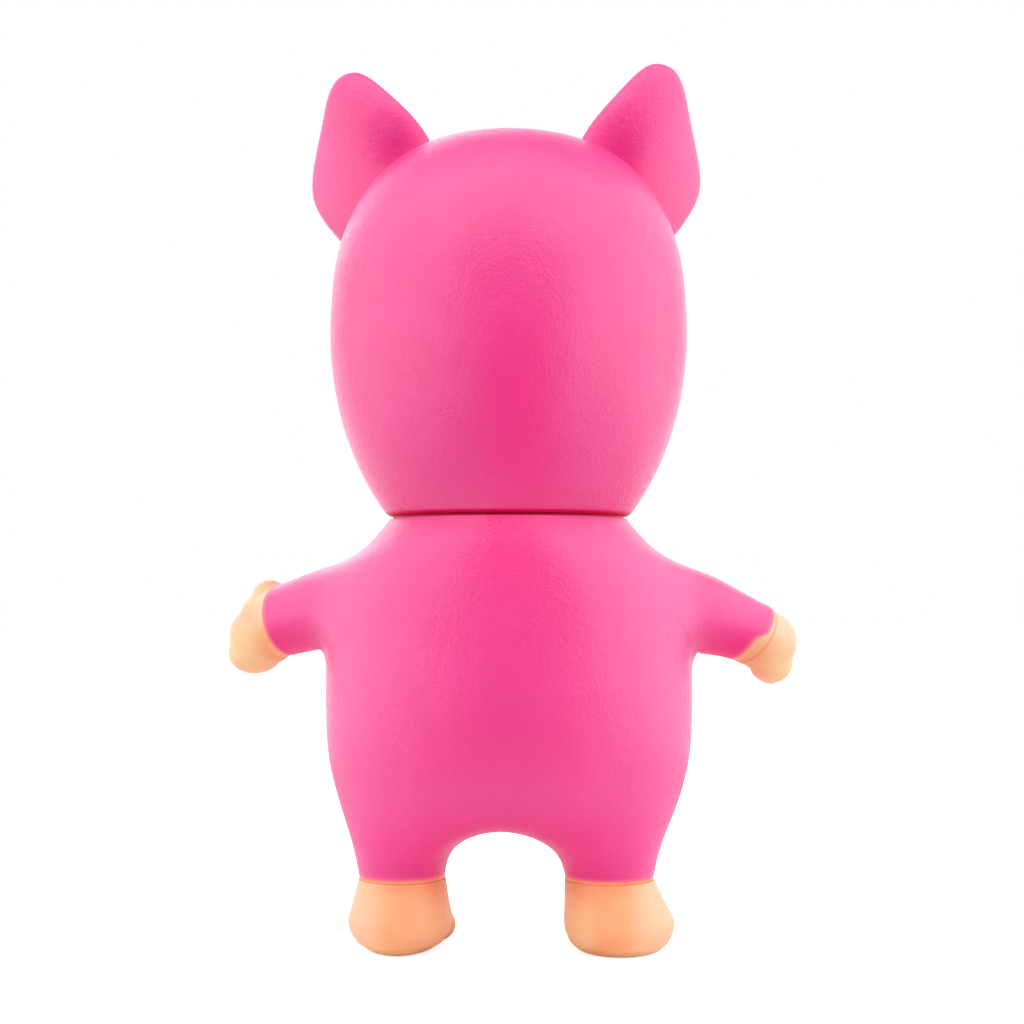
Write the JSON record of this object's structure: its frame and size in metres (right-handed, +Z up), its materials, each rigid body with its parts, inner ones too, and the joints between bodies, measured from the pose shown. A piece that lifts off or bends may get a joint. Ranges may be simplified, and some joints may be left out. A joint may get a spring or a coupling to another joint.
{
  "type": "soft vinyl doll",
  "caption": "Chubby standing soft vinyl child doll in a hooded animal suit with leaf-shaped ears, whose head turns on a neck spigot.",
  "frame": {"origin": "on the floor, under the axis that the head turns on, midway between the feet", "axes": "+Z up, the doll faces -Y, and its left side is at +X"},
  "size_m": [0.0989, 0.0573, 0.1513],
  "materials": {
    "pink_vinyl": "satin hot pink soft vinyl with a faint leathery grain",
    "peach_vinyl": "satin peach soft vinyl, sprayed pink along the cuffs",
    "dark_gloss": "dark brown gloss"
  },
  "bodies": {
    "body": {"body_shell": "pink_vinyl", "left_hand": "peach_vinyl", "right_hand": "peach_vinyl", "left_foot": "peach_vinyl", "right_foot": "peach_vinyl"},
    "head": {"hood_shell": "pink_vinyl", "left_ear": "pink_vinyl", "right_ear": "pink_vinyl", "face": "peach_vinyl", "left_eye": "dark_gloss", "right_eye": "dark_gloss"}
  },
  "joints": [
    {"name": "head_turn", "type": "hinge", "parent": "body", "child": "head", "pos_m": [0, 0, 0.0742], "axis": [0, 0, 1], "continuous": true}
  ]
}
